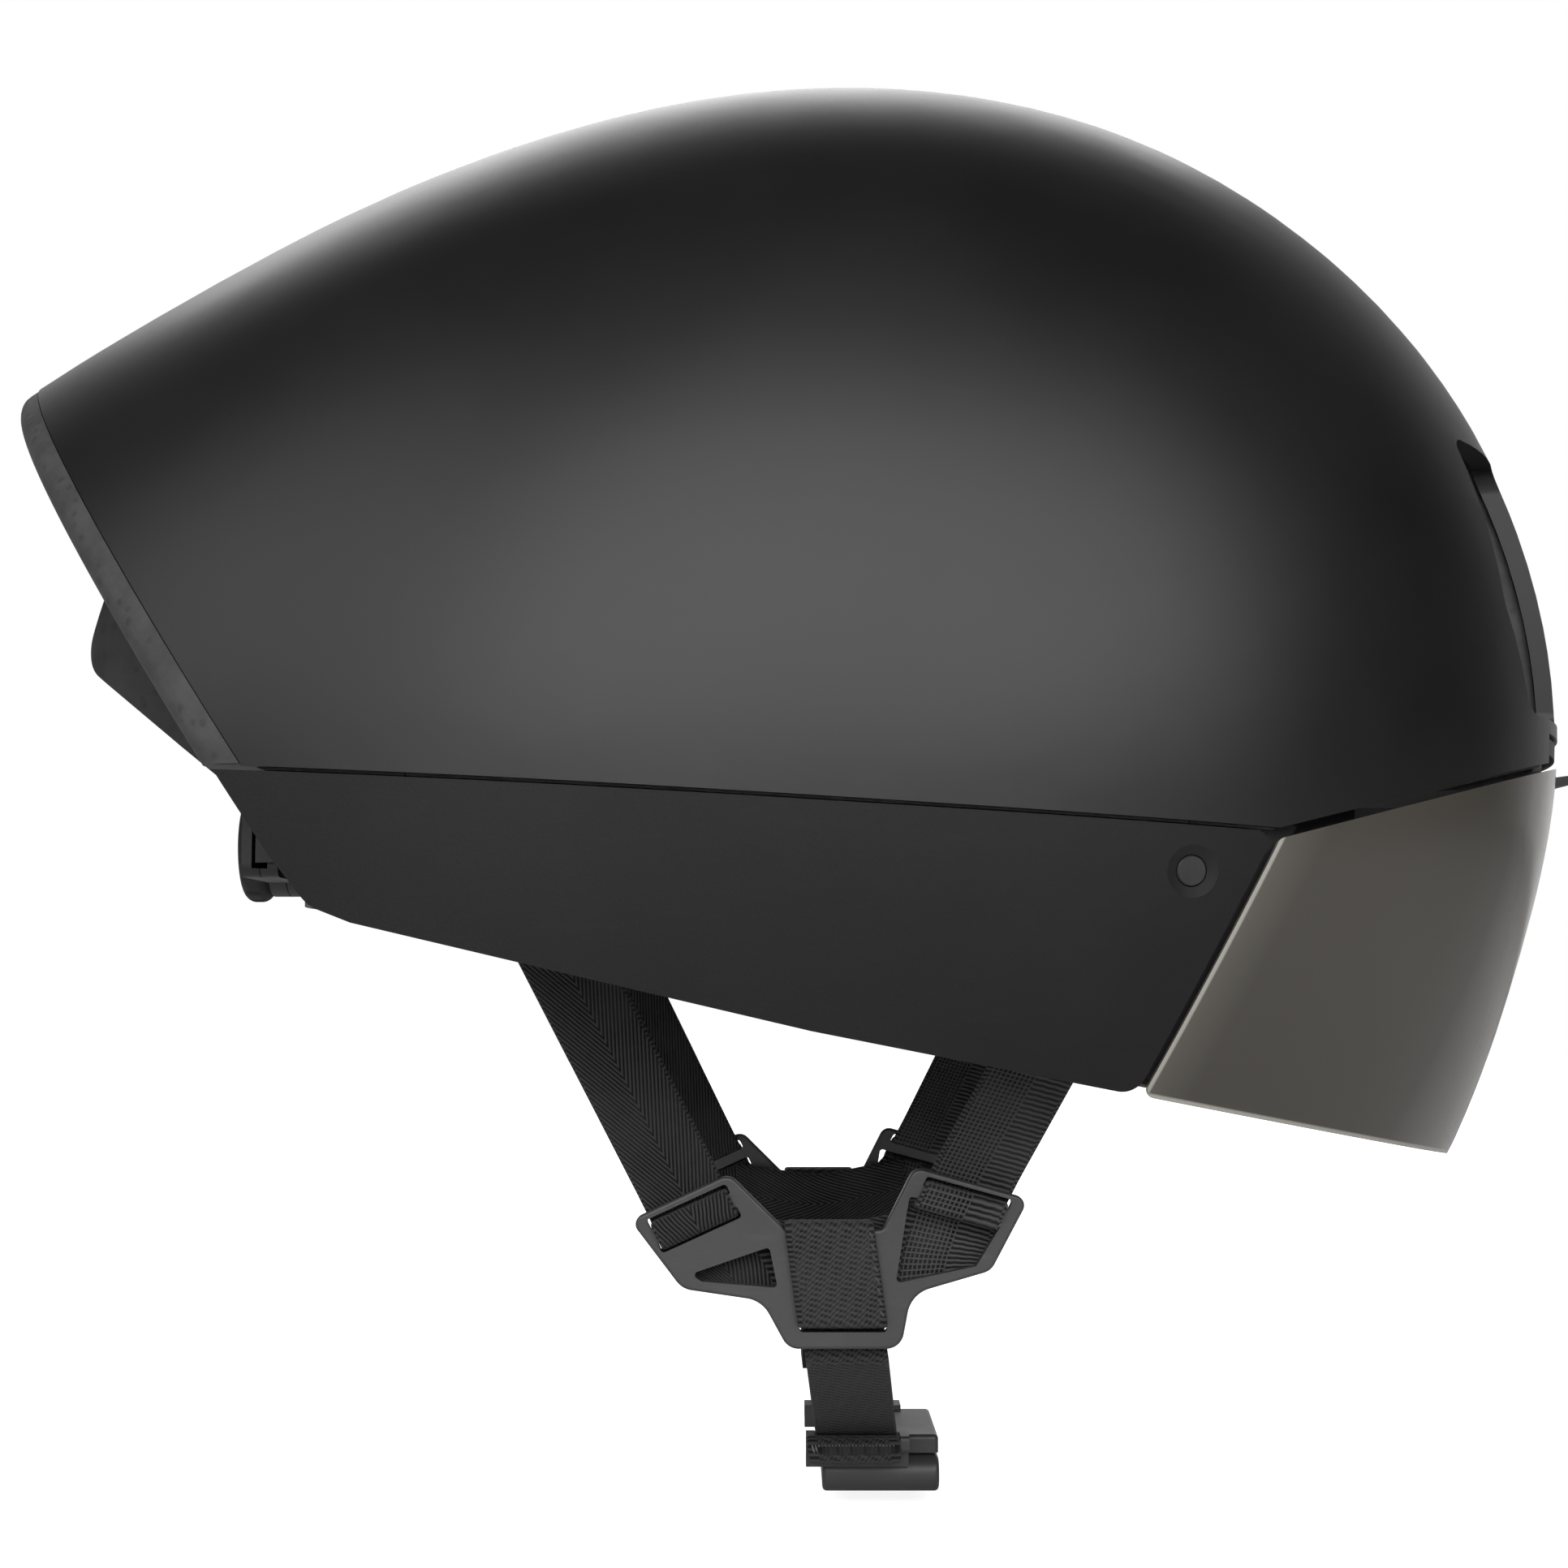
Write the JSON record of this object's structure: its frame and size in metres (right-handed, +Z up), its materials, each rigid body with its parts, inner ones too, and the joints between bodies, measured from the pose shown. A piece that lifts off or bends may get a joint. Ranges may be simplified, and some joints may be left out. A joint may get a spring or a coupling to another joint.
{
  "type": "aero time trial helmet",
  "caption": "Short-tail aero cycling helmet with foam liner, magnetic wraparound visor, dial fit cradle, webbing straps and a magnetic slide buckle.",
  "frame": {"origin": "middle of the head opening at brow height, where the head sits", "axes": "+X the way the rider looks, +Y the rider's left, +Z up"},
  "size_m": [0.2888, 0.2028, 0.2586],
  "materials": {
    "gloss_shell": "satin black moulded skin",
    "foam": "black beaded foam",
    "matte_panel": "fine matte black",
    "steel": "plated magnet",
    "black_coat": "black coating on a magnet",
    "smoked_lens": "smoked, faintly mirrored",
    "matte_plastic": "fine texture",
    "pad_fabric": "brushed knit over foam",
    "webbing": "woven polyester",
    "yoke_plastic": "moulded, slightly worn edges",
    "buckle_plastic": "fine texture",
    "band_plastic": "smooth flexible plastic",
    "dial_plastic": "satin",
    "grip_rubber": "matte"
  },
  "bodies": {
    "helmet": {"outer_shell": "gloss_shell", "liner_front_right": "foam", "liner_front_left": "foam", "liner_side_right": "foam", "liner_side_left": "foam", "liner_tail": "foam", "side_panel_right": "matte_panel", "side_panel_left": "matte_panel", "panel_magnet_right": "black_coat", "panel_magnet_left": "black_coat", "brow_dock": "matte_plastic", "temple_dock_right": "matte_plastic", "temple_dock_left": "matte_plastic", "dock_magnets": "steel", "brow_pad": "pad_fabric", "crown_pad": "pad_fabric", "side_pad_right": "pad_fabric", "side_pad_left": "pad_fabric", "rear_strap_anchors": "matte_plastic", "front_strap_anchors": "matte_plastic", "rear_strap_right": "webbing", "rear_strap_left": "webbing", "front_strap_right": "webbing", "front_strap_left": "webbing", "strap_yoke_right": "yoke_plastic", "strap_yoke_left": "yoke_plastic", "chin_strap_right": "webbing", "chin_strap_left": "webbing", "buckle_base": "buckle_plastic", "buckle_base_magnet": "steel", "headband_right": "band_plastic", "headband_left": "band_plastic", "headband_pins": "matte_plastic", "height_guide": "matte_plastic"},
    "visor": {"visor_lens": "smoked_lens", "visor_grip_tab": "matte_plastic", "visor_magnet_cups": "matte_plastic", "visor_magnets": "steel"},
    "height_carrier": {"height_strap": "band_plastic"},
    "cradle": {"dial_housing": "matte_plastic", "dial_cover": "matte_plastic", "cradle_frame": "matte_plastic", "cradle_pads": "pad_fabric"},
    "fit_dial": {"dial_knob": "dial_plastic", "dial_grip": "grip_rubber", "dial_pinion": "band_plastic"},
    "right_rack": {"rack_right": "band_plastic"},
    "left_rack": {"rack_left": "band_plastic"},
    "buckle_slide_half": {"buckle_slider": "buckle_plastic", "buckle_slider_magnet": "steel"},
    "strap_keeper": {"tail_keeper": "grip_rubber"}
  },
  "joints": [
    {"name": "visor_pull", "type": "slide", "parent": "helmet", "child": "visor", "axis": [1, 0, 0], "range_m": [0, 0.025]},
    {"name": "cradle_height", "type": "slide", "parent": "helmet", "child": "height_carrier", "axis": [0, 0, 1], "range_m": [-0.01, 0]},
    {"name": "fit_slide", "type": "slide", "parent": "height_carrier", "child": "cradle", "axis": [1, 0, 0], "range_m": [0, 0.01005], "deforming": ["headband_right", "headband_left", "height_strap"]},
    {"name": "fit_dial", "type": "hinge", "parent": "cradle", "child": "fit_dial", "pos_m": [-0.1016, 0, -0.012], "axis": [-1, 0, 0], "range_deg": [0, 180]},
    {"name": "right_rack_slide", "type": "slide", "parent": "cradle", "child": "right_rack", "axis": [0, 1, 0], "range_m": [0, 0.01005]},
    {"name": "left_rack_slide", "type": "slide", "parent": "cradle", "child": "left_rack", "axis": [0, -1, 0], "range_m": [0, 0.01005]},
    {"name": "buckle_slide", "type": "slide", "parent": "helmet", "child": "buckle_slide_half", "axis": [1, 0, 0], "range_m": [0, 0.018], "deforming": ["chin_strap_left"]},
    {"name": "keeper_slide", "type": "slide", "parent": "helmet", "child": "strap_keeper", "axis": [0.0551, -0.9138, -0.4024], "range_m": [-0.005, 0.005]}
  ],
  "couplings": [
    {"joint": "fit_dial", "follows": "fit_slide", "rad_per_m": 312.5},
    {"joint": "right_rack_slide", "follows": "fit_slide", "ratio": 1},
    {"joint": "left_rack_slide", "follows": "fit_slide", "ratio": 1}
  ]
}
